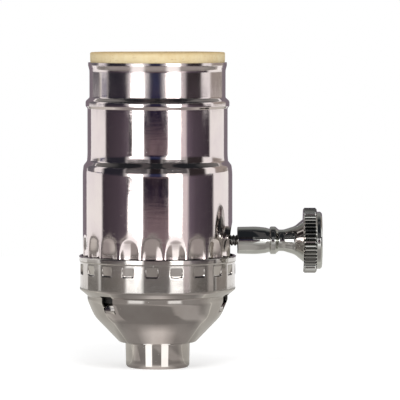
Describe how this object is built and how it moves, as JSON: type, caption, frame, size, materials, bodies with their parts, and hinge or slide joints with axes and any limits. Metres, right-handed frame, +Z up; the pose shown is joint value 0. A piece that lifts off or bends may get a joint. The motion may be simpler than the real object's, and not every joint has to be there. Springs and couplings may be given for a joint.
{
  "type": "lamp socket",
  "caption": "Three-way lamp socket: crimped nickel shell with a paper liner, a cap with a threaded neck, and a knurled rotary knob on its side.",
  "frame": {"origin": "middle of the neck's lower end, on the axis of the thread for the lamp's nipple", "axes": "+Z up along the socket's axis towards the bulb, +X along the switch's spindle towards the knob, +Y to the side with the set screw"},
  "size_m": [0.059, 0.0382, 0.0766],
  "materials": {
    "nickel_shell": "polished",
    "nickel_cap": "satin",
    "nickel_knob": "polished",
    "liner_board": "matte",
    "plated_steel": "satin",
    "black_phenolic": "satin",
    "white_plastic": "satin",
    "spring_brass": "satin",
    "terminal_brass": "satin",
    "terminal_silver": "satin",
    "brushed_aluminium": "satin",
    "spring_steel": "satin"
  },
  "bodies": {
    "housing": {"outer_shell": "nickel_shell", "paper_liner": "liner_board", "cap": "nickel_cap", "neck_bushing": "plated_steel", "set_screw": "plated_steel", "switch_body": "black_phenolic", "switch_cover": "black_phenolic", "cover_rivets": "spring_brass", "detent_spring": "spring_steel", "low_leaf": "spring_brass", "high_leaf": "spring_brass", "feed_leaf": "spring_brass", "centre_contact": "spring_brass", "ring_contact": "spring_brass", "contact_rivets": "spring_brass", "feed_rivet": "spring_brass", "terminal_hot": "terminal_brass", "terminal_neutral": "terminal_silver", "terminal_screw_hot": "terminal_brass", "terminal_screw_neutral": "terminal_silver", "screw_shell": "brushed_aluminium", "shell_screws": "plated_steel"},
    "knob_set": {"knob": "nickel_knob", "spindle": "plated_steel", "retaining_clip": "spring_steel", "rotor": "white_plastic", "rotor_contact": "spring_brass", "detent_cam": "white_plastic"}
  },
  "joints": [
    {"name": "knob_turn", "type": "hinge", "parent": "housing", "child": "knob_set", "pos_m": [0, 0, 0.0309], "axis": [1, 0, 0], "continuous": true, "deforming": ["detent_spring"]}
  ]
}
